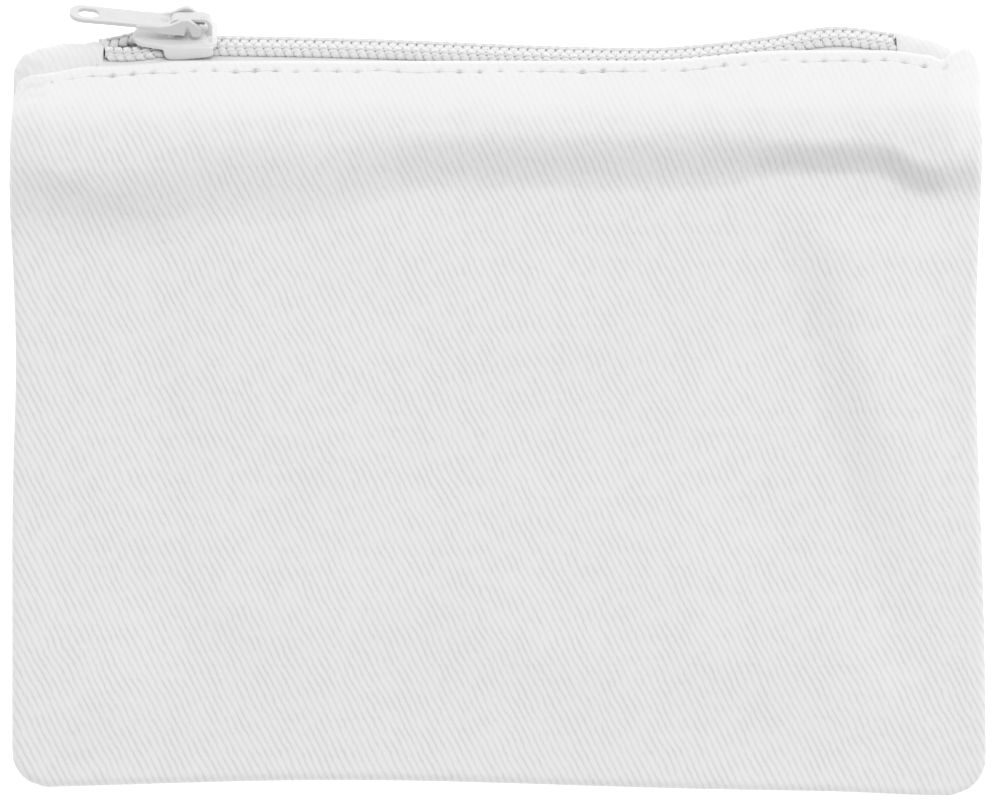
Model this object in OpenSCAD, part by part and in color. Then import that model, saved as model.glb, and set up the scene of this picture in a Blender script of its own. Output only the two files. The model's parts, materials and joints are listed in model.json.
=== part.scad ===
// Zippered pouch: two canvas panels sewn round three sides and turned right side out,
// with a coil zip along the fourth side and an auto-lock slider on it.
// It lies flat on its back panel. X runs along the zip, +Y from the bottom seam to the zip,
// +Z up out of the front panel. The origin is the middle of its box, on the surface it lies on.

/* [Pouch] */
// Width across the side seams
pouch_w = 134; // [120:1:150]
// Distance from the bottom seam to the zip's centre line
body_h = 102.2; // [92:0.2:112]
// Height of the front panel above the table, near the bottom seam
low_z = 5.9; // [5.8:0.1:6.4]
// Height of the front panel above the table, just below the roll
body_z = 8.2; // [7.6:0.1:8.6]
// Height of the roll beside the zip
roll_z = 10.4; // [10.3:0.1:10.6]
// Thickness of one layer of canvas
cloth_t = 0.7; // [0.6:0.05:0.7]
// Radius of the turned corners
corner_r = 4.6; // [3:0.1:6]
// Width of the seam allowance turned inside
allowance_w = 5.5; // [4:0.5:6.5]
// Length of one lockstitch
stitch_pitch = 2.8; // [2.4:0.1:3.4]

/* [Zip] */
// Length of chain between the two end tabs
chain_l = 108.4; // [100:0.2:112]
// Distance between neighbouring teeth on one tape
tooth_pitch = 1.27; // [1.2:0.01:1.4]
// Thickness of the coil's nylon wire
wire_d = 0.5; // [0.4:0.01:0.52]
// Thickness of the woven tape
tape_t = 0.4; // [0.3:0.05:0.4]
// Height of the zip's centre line above the table
zip_z = 5.3; // [5.2:0.05:5.4]

/* [Slider] */
// Distance from the left tab to the middle of the slider
slider_from_tab = 9.8; // [9:0.1:60]
// Length of the slider's body
slider_l = 11.6; // [11:0.1:12]
// Length of the pull, from its hinge to its tip
pull_l = 17.4; // [14:0.1:24]
// Width of the pull near its tip
pull_w = 3.7; // [3.5:0.1:4.2]
// Rest angle of the pull above the zip
pull_rest = 7.6; // [6:0.1:12]

/* [Hidden] */
$fn = 32;

half_w = pouch_w / 2;
zip_y = 48;                      // the zip's centre line
zip_tilt = 54;                   // how far the zip faces away from straight up
zip_slant = 0.8;                 // the zip leans a little away from the bottom seam, turned about the slider
bottom_y = zip_y - body_h;
hem_t = 2 * cloth_t;             // panel and turned hem together
hem_w = 9;                       // how deep the hem is turned under
gap = 0.1;                       // air between pieces that only touch

// Side seam: its height above the table, and the panels' edges there
seam_low_z = 1.4;
seam_climb_y = -36;              // from here the side seam climbs to the zip
rim_t = 0.45;
front_edge_w = 8;                // how far in each panel takes to reach its height
back_edge_w = 3.5;               // the same for the back panel, for each millimetre of the seam's height
back_zip_w = 7;                  // and beside the zip
seam_gap = 0.06;
seam_band = 0.5;                 // the strip along the edge where the two panels lie together

// Folded edges beside the zip, as the middle of each fold's round tip
front_tip_v = 4.88;
front_tip_w = 0.95;
front_fold_y = 46.6;             // outermost line of the front panel's fold
back_tip = [49.15, 1.0];
back_hem_z = 0.3;                // the back panel lifts this far off the table beside the zip
low_y = -46;
roll_start_y = 27;
roll_top_y = 38.5;
fold_drop = 0.7;                 // how far the roll falls again towards its fold
front_stitch_y = 44.3;           // the lockstitched rows beside the zip
back_stitch_y = 46.6;
needle_gap = 0.6;                // each stitch shows this much less than its pitch

// Chain: each coil loop's reach across the zip, and its height over the tape
loop_in = -0.45;
loop_out = 2.05;
loop_low = 0.22;
loop_high = 1.52;
spread_max = 1.25;               // how far each row stands off where the zip is open
spread_run = 5.6;                // length of the parting wedge
teeth = floor(chain_l / tooth_pitch) - 1;
tape_in = 0.75;
tape_flat = 3.15;                // the tape is flat this far out, where the slider runs
tape_hidden = 4;                 // how far the tape runs under each end tab
thread_r = 0.15;
seam_thread_in = 0.35;           // the seams' distance from the pouch's edge

// Slider, in the zip's frame: X along the chain, Y towards the back panel, Z out of the zip
slider_x = -chain_l / 2 + slider_from_tab;
plate_low = 1.8;
plate_high = 2.6;
under_high = -0.3;
under_low = -0.95;
flange_in = 2.5;
flange_low = 0.35;
flange_start = -1.2;
crown_w = 2.0;
crown_t = 0.5;
crown_x = [-0.6, 5.1];
crown_high = 5.4;
pivot = [3.0, 3.9];              // the pull's hinge, along and out of the zip
bar_r = 0.42;
leaf_t = 0.18;                   // the lock spring's thickness
leaf_hinge = [3.95, pivot[1] + bar_r + 0.08 + leaf_t / 2];
pull_t = 0.7;
ear_in = crown_w / 2 + 0.25;
ear_t = 0.7;
hump = [-1.75, 2.0];             // top of each ear, from the hinge
ear_reach = 0.8;                 // how far an ear runs up the strap, and its radius round the bar
window_l = 4.15;
eye = [2.9, 2.2];                // the pull's oval eye
eye_margin = 1.2;
prong_x = 1.2;
prong_w = 0.5;

// ---- curves -------------------------------------------------------------------------------

function smooth(q) = let (c = max(0, min(1, q))) c * c * (3 - 2 * c);
function round_edge(q) = let (c = max(0, min(1, q))) sqrt(1 - (1 - c) * (1 - c));
function mix(a, b, q) = a + (b - a) * q;
function bezier(p, n) = [for (i = [0 : n]) let (t = i / n)
    pow(1 - t, 3) * p[0] + 3 * pow(1 - t, 2) * t * p[1] + 3 * (1 - t) * t * t * p[2] + pow(t, 3) * p[3]];

// A point of the zip's cross-section in [y, z]: v towards the front panel, w out of the zip
function zip_point(v, w) = [zip_y - v * cos(zip_tilt) + w * sin(zip_tilt),
                            zip_z + v * sin(zip_tilt) + w * cos(zip_tilt)];

// How far a row of teeth stands off the closed line at a place along the zip
function spread(x) = spread_max * smooth((slider_x + 0.3 - x) / spread_run);

// ---- the panels' surfaces -----------------------------------------------------------------

function bottom_edge(x) = let (over = max(0, abs(x) - (half_w - corner_r)))
    bottom_y + corner_r - sqrt(max(0, corner_r * corner_r - over * over));
function seam_z(y) = let (climb = (y - seam_climb_y) / (zip_y - seam_climb_y))
    mix(seam_low_z, zip_z, pow(max(0, min(1, climb)), 1.6));
function inside(x, y, w) = round_edge((half_w - abs(x) - seam_band) / w)
    * round_edge((y - bottom_edge(x) - seam_band) / w);

function middle_z(y) = y < roll_top_y
    ? mix(mix(low_z, body_z, (y - low_y) / (roll_start_y - low_y)), roll_z,
          smooth((y - roll_start_y) / (roll_top_y - roll_start_y)))
    : roll_z - fold_drop * pow((y - roll_top_y) / (front_fold_y - roll_top_y), 2);
function front_z(x, y) = mix(seam_z(y) + rim_t, middle_z(y), inside(x, y, front_edge_w));
function back_w(y) = mix(back_edge_w * seam_z(y), back_zip_w, smooth((y - 20) / 18));
function back_z(x, y) = mix(seam_z(y) - rim_t, back_hem_z * smooth((y - 36) / 8), inside(x, y, back_w(y)));

// A panel's thickness at y: one layer, or two where the hem is turned under
function layers(y, tip_y) = mix(cloth_t, hem_t, smooth((y - tip_y + hem_w) / 1.5));

column_share = [0, 0.2, 0.4, 0.6, 0.75, 0.86, 0.91, 0.94, 0.965, 0.982, 0.993, 1];
columns = [for (i = [-11 : 11]) (i < 0 ? -1 : 1) * column_share[abs(i)] * half_w];
row_share = concat([for (i = [0 : 5]) 0.1 * pow(i / 5, 2)], [for (i = [1 : 6]) 0.1 + 0.65 * i / 6],
                   [for (i = [1 : 9]) 0.75 + 0.25 * i / 9]);

// One closed loop of [y, z] points: out along the outer face, round the fold, back along the inner
function panel_loop(outer, inner, tip, tip_r, turn) = concat(
    outer, [for (a = [60 : -30 : -60]) tip + tip_r * [cos(a), turn * sin(a)]], inner);
function reversed(list) = [for (i = [len(list) - 1 : -1 : 0]) list[i]];

function front_loop(x) = let (
        tip = zip_point(front_tip_v, front_tip_w),
        tip_z = front_z(x, tip[0]) - hem_t / 2,
        low = bottom_edge(x),
        ys = [for (s = row_share) mix(low, tip[0], s)],
        outer = [for (y = ys) [y, front_z(x, y)]],
        inner = [for (y = ys) [y, max(seam_z(y) + seam_gap / 2, front_z(x, y) - layers(y, tip[0]))]])
    panel_loop(outer, reversed(inner), [tip[0], max(tip_z, seam_z(tip[0]) + rim_t / 2)],
               min(hem_t / 2, (front_z(x, tip[0]) - seam_z(tip[0])) / 2), 1);

function back_loop(x) = let (
        low = bottom_edge(x),
        ys = [for (s = row_share) mix(low, back_tip[0], s)],
        outer = [for (y = ys) [y, back_z(x, y)]],
        inner = [for (y = ys) [y, min(seam_z(y) - seam_gap / 2, back_z(x, y) + layers(y, back_tip[0]))]],
        tip_low = back_z(x, back_tip[0]),
        tip_high = min(seam_z(back_tip[0]), tip_low + hem_t))
    panel_loop(outer, reversed(inner), [back_tip[0], (tip_low + tip_high) / 2],
               (tip_high - tip_low) / 2, -1);

// Joins closed loops of points, one at each x, into a solid
module loft(loops, xs) {
    n = len(loops[0]);
    m = len(loops);
    points = [for (i = [0 : m - 1]) for (p = loops[i]) [xs[i], p[0], p[1]]];
    walls = [for (i = [0 : m - 2]) for (j = [0 : n - 1]) let (k = (j + 1) % n)
        each [[i * n + j, i * n + k, (i + 1) * n + j], [i * n + k, (i + 1) * n + k, (i + 1) * n + j]]];
    ends = [for (j = [0 : floor(n / 2) - 1]) let (a = n - 1 - j)
        each a - 1 > j + 1 ? [[j, j + 1, a], [j + 1, a - 1, a]] : [[j, j + 1, a]]];
    first = [for (t = ends) [t[2], t[1], t[0]]];
    other = [for (t = ends) [for (k = t) (m - 1) * n + k]];
    polyhedron(points, concat(walls, first, other));
}

// A round tube along a list of points, for threads and cords
module tube(path, r, sides = 8) {
    last = len(path) - 1;
    points = [for (i = [0 : last]) let (
            ahead = path[min(i + 1, last)] - path[max(i - 1, 0)],
            along = ahead / norm(ahead),
            side = cross(along, abs(along[2]) < 0.9 ? [0, 0, 1] : [0, 1, 0]),
            across = side / norm(side),
            up = cross(across, along))
        for (j = [0 : sides - 1]) path[i] + r * (cos(360 * j / sides) * across + sin(360 * j / sides) * up)];
    walls = [for (i = [0 : last - 1]) for (j = [0 : sides - 1]) let (k = (j + 1) % sides)
        [i * sides + j, i * sides + k, (i + 1) * sides + k, (i + 1) * sides + j]];
    caps = [[for (j = [sides - 1 : -1 : 0]) j], [for (j = [0 : sides - 1]) last * sides + j]];
    polyhedron(points, concat(walls, caps));
}

// ---- cloth --------------------------------------------------------------------------------

module front_panel() {
    color("whitesmoke") loft([for (x = columns) front_loop(x)], columns);
}

module back_panel() {
    color("whitesmoke") loft([for (x = columns) reversed(back_loop(x))], columns);
}

// The raw edges of both panels, turned inside and lying together round three sides
module seam_allowance() {
    edge_in = 2;
    side_top = -16;                  // it stops here, below the roll
    module sheet(inset) {
        r = corner_r - 1;
        w = half_w - inset;
        low = bottom_y + inset;
        translate([-w + r, low]) square([2 * (w - r), side_top - low]);
        translate([-w, low + r]) square([2 * w, side_top - low - r]);
        for (side = [-1, 1]) translate([side * (w - r), low + r]) circle(r);
    }
    color("white") translate([0, 0, seam_low_z - 0.2]) linear_extrude(hem_t) difference() {
        sheet(edge_in);
        translate([0, 0.01]) sheet(edge_in + allowance_w);
        translate([-half_w, side_top - 0.005]) square([pouch_w, 1]);
    }
}

// A folded strip of canvas over one end of the zip; side is -1 at the left, 1 at the right
module end_tab(side) {
    low = 0.3;
    towards_back = 0.4;              // keeps it clear of the front panel's fold
    wide = 7.2;
    tip_wide = 1.4;
    narrows_x = half_w - 7;
    tip_x = half_w - 2.6;
    sliver = 0.02;
    color("whitesmoke") zip_frame() translate([0, towards_back, low + cloth_t / 2]) hull() {
        for (x = [chain_l / 2, narrows_x])
            translate([side * x, 0, 0]) cube([sliver, wide, cloth_t], center = true);
        translate([side * tip_x, 0, 0]) cube([sliver, tip_wide, cloth_t], center = true);
    }
}

// ---- zip ----------------------------------------------------------------------------------

// Turns what belongs to the zip about the slider, so that it leans with the zip
module slant() {
    translate([slider_x, zip_y, 0]) rotate([0, 0, zip_slant]) translate([-slider_x, -zip_y, 0]) children();
}

module zip_frame() {
    slant() translate([0, zip_y, zip_z]) rotate([-zip_tilt, 0, 0]) children();
}

// Extrudes an outline of [y, z] points along X
module along_x(l) {
    rotate([90, 0, 90]) linear_extrude(l, center = true) children();
}

// A strip of even thickness on either side of a path of [y, z] points
module strip(path, t) {
    last = len(path) - 1;
    normals = [for (i = [0 : last]) let (d = path[min(i + 1, last)] - path[max(i - 1, 0)])
        [-d[1], d[0]] / norm(d)];
    polygon(concat([for (i = [0 : last]) path[i] + normals[i] * t / 2],
                   [for (i = [last : -1 : 0]) path[i] - normals[i] * t / 2]));
}

module front_tape() {
    under_hem = hem_t + tape_t / 2 + 3 * gap;
    hem_y = [45.5, 44, 41, 38.4];
    function under(i) = [hem_y[i], middle_z(hem_y[i]) - under_hem];
    path = concat([zip_point(tape_in, 0)],
        bezier([zip_point(tape_flat, 0), zip_point(tape_flat + 0.25, 0), under(0), under(1)], 6),
        [under(2), under(3)]);
    color("gainsboro") slant() along_x(chain_l + 2 * tape_hidden) strip(path, tape_t);
}

module back_tape() {
    over_hem = back_hem_z + hem_t + tape_t / 2 + gap;
    bend_r = 0.45;
    bend = 180 - zip_tilt;
    // where the bend starts, so that it ends flat on the hem
    bend_v = -(zip_z - over_hem - bend_r * (1 + cos(zip_tilt))) / sin(zip_tilt);
    middle = zip_point(bend_v, -bend_r);
    tape_edge_y = 40;
    path = concat([zip_point(-tape_in, 0)],
        [for (i = [0 : 8]) let (a = 90 - zip_tilt - bend * i / 8) middle + bend_r * [cos(a), sin(a)]],
        [[tape_edge_y, over_hem]]);
    color("gainsboro") slant() along_x(chain_l + 2 * tape_hidden) strip(path, tape_t);
}

// The two rows' teeth alternate, half a pitch apart
function tooth_x(i, side) = -chain_l / 2 + tooth_pitch * (i + 0.75 + side / 4);

// One loop of the coil, seen along the chain; side is -1 on the front tape, 1 on the back tape
module loop_outline(trim) {
    h = loop_high - loop_low - 2 * trim;
    l = loop_out - loop_in - 2 * trim;
    square([l - h, h], center = true);
    for (end = [-1, 1]) translate([end * (l - h) / 2, 0]) circle(d = h);
}

module coil(side) {
    color("white") zip_frame() for (i = [0 : teeth - 1]) {
        x = tooth_x(i, side);
        translate([x, side * ((loop_in + loop_out) / 2 + spread(x)), (loop_low + loop_high) / 2])
            along_x(wire_d) difference() {
                loop_outline(0);
                loop_outline(wire_d);
            }
    }
}

// The soft cord that runs inside the coil's loops
module coil_cord(side) {
    cord_r = (loop_high - loop_low) / 2 - wire_d - 0.02;
    middle = (loop_in + loop_out) / 2;
    wedge = [for (i = [0 : 8]) slider_x + 0.3 - spread_run + i * spread_run / 8];
    xs = concat([-chain_l / 2 + 0.1], wedge, [chain_l / 2 - 0.1]);
    color("white") zip_frame() tube([for (x = xs)
        [x, side * (middle + spread(x)), (loop_low + loop_high) / 2]], cord_r);
}

// Each stitch ties one loop of the coil down to the tape
module coil_stitching(side) {
    stitch = [0.3, 0.9, 0.12];
    from_middle = 1.1;
    color("white") zip_frame() for (i = [0 : teeth - 1]) {
        x = tooth_x(i, side);
        y = side * (from_middle + spread(x));
        translate([x - stitch[0] / 2, y - stitch[1] / 2, loop_high + 0.01]) cube(stitch);
    }
}

// A row of lockstitches along the fold beside the zip
module topstitch(y, z) {
    stitch_l = stitch_pitch - needle_gap;
    past_chain = 3;
    count = floor((chain_l + 2 * past_chain) / stitch_pitch);
    color("white") for (i = [0 : count - 1])
        translate([(i - (count - 1) / 2) * stitch_pitch - stitch_l / 2, y, z]) rotate([0, 90, 0])
            cylinder(r = thread_r, h = stitch_l);
}

module front_topstitch() {
    topstitch(front_stitch_y, middle_z(front_stitch_y) + thread_r + 0.02);
}

module back_topstitch() {
    topstitch(back_stitch_y, back_hem_z - thread_r);
}

// The lockstitched seam along one side, just inside the edge; it grips both panels
module side_seam_thread(side) {
    top_y = zip_y - 4;
    steps = 14;
    ys = concat([bottom_y + corner_r], [for (i = [0 : steps]) mix(seam_climb_y, top_y, i / steps)]);
    color("white") tube([for (y = ys) [side * (half_w - seam_thread_in), y, seam_z(y)]], thread_r);
}

module bottom_seam_thread() {
    straight = half_w - corner_r;
    color("white") translate([-straight, bottom_y + seam_thread_in, seam_low_z]) rotate([0, 90, 0])
        cylinder(r = thread_r, h = 2 * straight);
}

// ---- slider -------------------------------------------------------------------------------

module slider_frame() {
    zip_frame() translate([slider_x, 0, 0]) children();
}

// The slider's plates from above, with the nose at -X
module slider_outline() {
    nose_x = -slider_l / 2;
    tail_x = slider_l / 2;
    polygon([[nose_x + 1.2, -2.4], [-1.5, -3.1], [tail_x - 0.6, -3.0], [tail_x, -2.4],
             [tail_x, 2.4], [tail_x - 0.6, 3.0], [-1.5, 3.1], [nose_x + 1.2, 2.4]]);
    translate([nose_x + 2.3, 0]) circle(r = 2.3);
}

module under_outline() {
    nose_x = -slider_l / 2 + 0.4;
    tail_x = slider_l / 2 - 0.2;
    polygon([[nose_x, -1.2], [nose_x + 1, -2.3], [-1.5, -2.9], [tail_x, -2.6],
             [tail_x, 2.6], [-1.5, 2.9], [nose_x + 1, 2.3], [nose_x, 1.2]]);
}

module slider_body() {
    wedge_tip = -2.4;
    wedge_back = -slider_l / 2 + 0.5;
    color("ghostwhite") slider_frame() {
        difference() {
            translate([0, 0, plate_low]) linear_extrude(plate_high - plate_low) slider_outline();
            translate([prong_x, 0, plate_low]) cube([prong_w + 0.5, 1, 4], center = true);
        }
        // side flanges that hold the teeth together
        for (side = [-1, 1]) translate([0, 0, flange_low])
            linear_extrude(plate_low - flange_low) intersection() {
            slider_outline();
            translate([flange_start, side > 0 ? flange_in : -flange_in - 1]) square([slider_l, 1]);
        }
        translate([0, 0, under_low]) linear_extrude(under_high - under_low) under_outline();
        // the wedge that parts the two rows, and joins the two plates
        translate([0, 0, under_high]) linear_extrude(plate_low - under_high)
            polygon([[wedge_tip, 0], [-4.8, -0.55], [wedge_back, -0.3], [wedge_back, 0.3], [-4.8, 0.55]]);
    }
}

// The arch over the lock spring and the pull's hinge bar
module slider_crown() {
    arch_high = crown_high - plate_high;
    shoulder = 1.1;
    module arch(trim) {
        l = crown_x[1] - crown_x[0] - 2 * trim;
        h = arch_high - trim;
        translate([crown_x[0] + trim, 0]) square([l, h - shoulder]);
        translate([crown_x[0] + trim + shoulder, 0]) square([l - 2 * shoulder, h]);
        for (x = [crown_x[0] + trim + shoulder, crown_x[1] - trim - shoulder])
            translate([x, h - shoulder]) circle(shoulder);
    }
    color("ghostwhite") slider_frame() translate([0, crown_w / 2, plate_high]) rotate([90, 0, 0])
        linear_extrude(crown_w) difference() {
            arch(0);
            translate([0, -0.01]) arch(crown_t);
        }
}

// A leaf under the crown whose prong drops between the teeth and locks the slider
module lock_spring() {
    leaf_low = pivot[1] + bar_r + 0.08;
    leaf_w = 1.2;
    leaf_x = [0.8, leaf_hinge[0]];
    color("silver") slider_frame() {
        translate([leaf_x[0], -leaf_w / 2, leaf_low]) cube([leaf_x[1] - leaf_x[0], leaf_w, leaf_t]);
        // the rolled end that it tips about
        translate([leaf_hinge[0], 0, leaf_hinge[1]]) rotate([90, 0, 0])
            cylinder(r = leaf_t, h = leaf_w, center = true);
        prong_low = loop_high + 0.2;
        translate([prong_x - prong_w / 2, -0.3, prong_low]) cube([prong_w, 0.6, leaf_low - prong_low]);
    }
}

// The flat pull: an eye near its tip, and two humped ears that carry the hinge bar
module pull_tab() {
    tip_r = pull_w / 2;
    root_w = pull_w - 0.4;
    strap_end = -window_l;
    color("ghostwhite") slider_frame() translate([pivot[0], 0, pivot[1]]) rotate([0, pull_rest, 0]) {
        translate([0, 0, -pull_t / 2]) linear_extrude(pull_t) difference() {
            union() {
                polygon([[-pull_l + tip_r, -tip_r], [strap_end - 1.2, -root_w / 2],
                         [strap_end, -ear_in - ear_t], [strap_end, ear_in + ear_t],
                         [strap_end - 1.2, root_w / 2], [-pull_l + tip_r, tip_r]]);
                translate([-pull_l + tip_r, 0]) circle(tip_r);
            }
            translate([-pull_l + eye_margin + eye[1] / 2, -eye[1] / 2]) square([eye[0] - eye[1], eye[1]]);
            for (x = [0, eye[0] - eye[1]])
                translate([-pull_l + eye_margin + eye[1] / 2 + x, 0]) circle(d = eye[1]);
        }
        for (side = [-1, 1]) translate([0, side > 0 ? ear_in + ear_t : -ear_in, 0]) rotate([90, 0, 0])
            linear_extrude(ear_t) {
                polygon([[strap_end - ear_reach, -pull_t / 2], [strap_end - ear_reach, pull_t / 2],
                         hump + [-0.4, 0], hump + [0.2, 0], [0.75, 0.35], [0, -ear_reach]]);
                circle(r = ear_reach);
            }
        rotate([90, 0, 0]) cylinder(r = bar_r, h = 2 * ear_in + 0.2, center = true);
    }
}

// ---- the whole pouch ----------------------------------------------------------------------

front_panel();
back_panel();
seam_allowance();
end_tab(-1);  // left_end_tab
end_tab(1);  // right_end_tab
front_tape();
back_tape();
coil(-1);  // front_coil
coil(1);  // back_coil
coil_cord(-1);  // front_coil_cord
coil_cord(1);  // back_coil_cord
coil_stitching(-1);  // front_coil_stitching
coil_stitching(1);  // back_coil_stitching
front_topstitch();
back_topstitch();
side_seam_thread(-1);  // left_seam_thread
side_seam_thread(1);  // right_seam_thread
bottom_seam_thread();
slider_body();
slider_crown();
lock_spring();
pull_tab();
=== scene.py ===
"""Looks of the zippered pouch: canvas panels with turned edges, a coil zip and an enamelled slider.

Lengths below are in millimetres in the CAD frame; mesh_object() turns them into metres.
"""

import json
import math

import bpy
import bmesh
import numpy as np
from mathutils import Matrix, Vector


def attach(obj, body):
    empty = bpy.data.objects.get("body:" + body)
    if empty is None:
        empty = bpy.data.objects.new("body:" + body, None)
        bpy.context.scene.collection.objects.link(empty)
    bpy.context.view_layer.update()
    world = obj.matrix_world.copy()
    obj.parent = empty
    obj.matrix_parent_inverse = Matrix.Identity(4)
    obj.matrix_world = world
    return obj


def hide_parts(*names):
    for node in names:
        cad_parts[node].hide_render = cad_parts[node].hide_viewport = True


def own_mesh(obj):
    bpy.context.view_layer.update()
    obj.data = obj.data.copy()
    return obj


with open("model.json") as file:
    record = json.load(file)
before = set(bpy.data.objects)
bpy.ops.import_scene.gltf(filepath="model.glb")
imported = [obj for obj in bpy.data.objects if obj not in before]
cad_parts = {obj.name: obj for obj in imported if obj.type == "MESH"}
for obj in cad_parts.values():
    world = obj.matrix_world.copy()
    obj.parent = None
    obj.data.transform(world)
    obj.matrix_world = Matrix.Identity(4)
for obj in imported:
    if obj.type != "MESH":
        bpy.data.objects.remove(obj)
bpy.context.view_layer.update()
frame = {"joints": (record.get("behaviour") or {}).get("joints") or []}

MM = 0.001

# ---- camera, lights and floor ----

LENS = 200
SENSOR = 36
VIEW_W = 137.5516                    # how wide the view is at the height VIEW_Z
VIEW_Z = 2.0
camera_data = bpy.data.cameras.new("camera")
camera_data.lens = LENS
camera_data.sensor_width = SENSOR
camera_data.clip_start = 0.05
camera_data.clip_end = 20
camera = bpy.data.objects.new("camera", camera_data)
bpy.context.scene.collection.objects.link(camera)
camera.location = (0, 0, (VIEW_W * LENS / SENSOR + VIEW_Z) * MM)
bpy.context.scene.camera = camera
bpy.context.scene.view_settings.view_transform = "Standard"

WORLD_STRENGTH = 0.77
world = bpy.data.worlds.new("studio")
world.use_nodes = True
world.node_tree.nodes["Background"].inputs["Color"].default_value = (1, 1, 1, 1)
world.node_tree.nodes["Background"].inputs["Strength"].default_value = WORLD_STRENGTH
bpy.context.scene.world = world


def area_light(name, place, size, power):
    data = bpy.data.lights.new(name, "AREA")
    data.shape = "DISK"
    data.size = size
    data.energy = power
    light = bpy.data.objects.new(name, data)
    light.location = place
    light.rotation_euler = (-Vector(place)).to_track_quat("-Z", "Y").to_euler()
    bpy.context.scene.collection.objects.link(light)


KEY_PLACE = (0.6, 1.25, 2.1)
KEY_SIZE = 1.3
KEY_POWER = 22
area_light("key", KEY_PLACE, KEY_SIZE, KEY_POWER)

# ---- meshes ----


def mesh_object(name, verts, faces, smooth=True):
    data = bpy.data.meshes.new(name)
    points = [tuple(v) for v in (np.asarray(verts) * MM)]
    data.from_pydata(points, [], [tuple(int(i) for i in f) for f in faces])
    bm = bmesh.new()
    bm.from_mesh(data)
    bmesh.ops.remove_doubles(bm, verts=bm.verts, dist=1e-7)
    open_edges = [e for e in bm.edges if e.is_boundary]
    if open_edges:
        bmesh.ops.holes_fill(bm, edges=open_edges, sides=0)
        bmesh.ops.triangulate(bm, faces=[f for f in bm.faces if len(f.verts) > 4])
    bmesh.ops.recalc_face_normals(bm, faces=bm.faces)
    bm.to_mesh(data)
    bm.free()
    for p in data.polygons:
        p.use_smooth = smooth
    obj = bpy.data.objects.new(name, data)
    bpy.context.scene.collection.objects.link(obj)
    return obj


def place(obj, material, body, slot, *nodes):
    """Gives a piece its material, its body and the CAD nodes that it stands for."""
    obj.data.materials.clear()
    obj.data.materials.append(material)
    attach(obj, body)
    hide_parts(*nodes)
    return obj


def grid_faces(rows, cols, start=0, wrap=False):
    """Quads of a grid of points stored row by row; wrap joins the last column to the first."""
    faces = []
    for i in range(rows - 1):
        for j in range(cols if wrap else cols - 1):
            k = (j + 1) % cols
            a = start + i * cols
            faces.append((a + j, a + k, a + cols + k, a + cols + j))
    return faces


def tube(path, r, sides=8, plies=0, twist=0.0, up=(0, 0, 1), flat=1.0):
    """Vertices and faces of a tube along a path; plies and twist give it the look of twisted yarn.

    flat makes it wider along the direction it is laid up from."""
    path = np.asarray(path, float)
    n = len(path)
    ahead = np.gradient(path, axis=0)
    ahead /= np.linalg.norm(ahead, axis=1)[:, None]
    up = np.array(up, float)
    side = np.cross(ahead, up)
    short = np.linalg.norm(side, axis=1) < 0.3
    side[short] = np.cross(ahead[short], np.array([0.3, 1.0, 0.2]))
    side /= np.linalg.norm(side, axis=1)[:, None]
    for i in range(1, n):
        if np.dot(side[i], side[i - 1]) < 0:
            side[i] = -side[i]
    normal = np.cross(side, ahead)
    length = np.concatenate([[0], np.cumsum(np.linalg.norm(np.diff(path, axis=0), axis=1))])
    angle = np.arange(sides) * 2 * math.pi / sides
    radius = np.broadcast_to(np.asarray(r, float), (n,))[:, None] * np.ones((1, sides))
    if plies:
        radius = radius * (1 + 0.16 * np.cos(plies * angle[None, :] - twist * length[:, None]))
    across = np.cos(angle)[None, :, None] * side[:, None, :]
    out = flat * np.sin(angle)[None, :, None] * normal[:, None, :]
    ring = path[:, None, :] + radius[..., None] * (across + out)
    faces = grid_faces(n, sides, wrap=True)
    faces.append(tuple(range(sides - 1, -1, -1)))
    faces.append(tuple((n - 1) * sides + j for j in range(sides)))
    return ring.reshape(-1, 3), faces


def joined(parts):
    verts, faces, start = [], [], 0
    for v, f in parts:
        verts.append(v)
        faces += [tuple(start + i for i in face) for face in f]
        start += len(v)
    return np.concatenate(verts), faces


def normals(line):
    """Unit normals of a plane curve, on the left of its direction."""
    d = np.gradient(line, axis=0)
    normal = np.stack([-d[:, 1], d[:, 0]], -1)
    return normal / np.linalg.norm(normal, axis=1)[:, None]


def closed_strip(loops):
    """Vertices and faces of a strip through loops that run out along one face and back along the other."""
    grid = np.stack(loops, 0)
    n, m = grid.shape[:2]
    faces = grid_faces(n, m, wrap=True)
    for base in (0, (n - 1) * m):
        faces += [(base + j, base + j + 1, base + m - 2 - j, base + m - 1 - j) for j in range(m // 2 - 1)]
    return grid.reshape(-1, 3), faces


def zip_rows(a, b, ta, tb):
    """Triangles between two rows of vertex numbers with different counts."""
    faces, i, j = [], 0, 0
    while i < len(a) - 1 or j < len(b) - 1:
        if j == len(b) - 1 or (i < len(a) - 1 and ta[i + 1] <= tb[j + 1]):
            faces.append((a[i], a[i + 1], b[j]))
            i += 1
        else:
            faces.append((a[i], b[j + 1], b[j]))
            j += 1
    return faces


def smooth(q):
    q = np.clip(q, 0, 1)
    return q * q * (3 - 2 * q)


def mix(a, b, q):
    return a + (b - a) * q


def bump(x, middle, width):
    return np.exp(-((x - middle) / width) ** 2)


def quarter(q):
    q = np.clip(q, 0, 1)
    return np.sqrt(1 - (1 - q) ** 2)


def waves(x, y, seed, length, count=7):
    """Smooth seeded unevenness, about -1 to 1, with waves of about one length."""
    draw = np.random.RandomState(seed)
    total = 0
    for _ in range(count):
        turn = draw.uniform(0, 2 * math.pi)
        k = 2 * math.pi / (length * draw.uniform(0.7, 1.5))
        total = total + np.cos(k * (x * math.cos(turn) + y * math.sin(turn)) + draw.uniform(0, 2 * math.pi))
    return total / math.sqrt(count)


# ---- where things are ----

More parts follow.
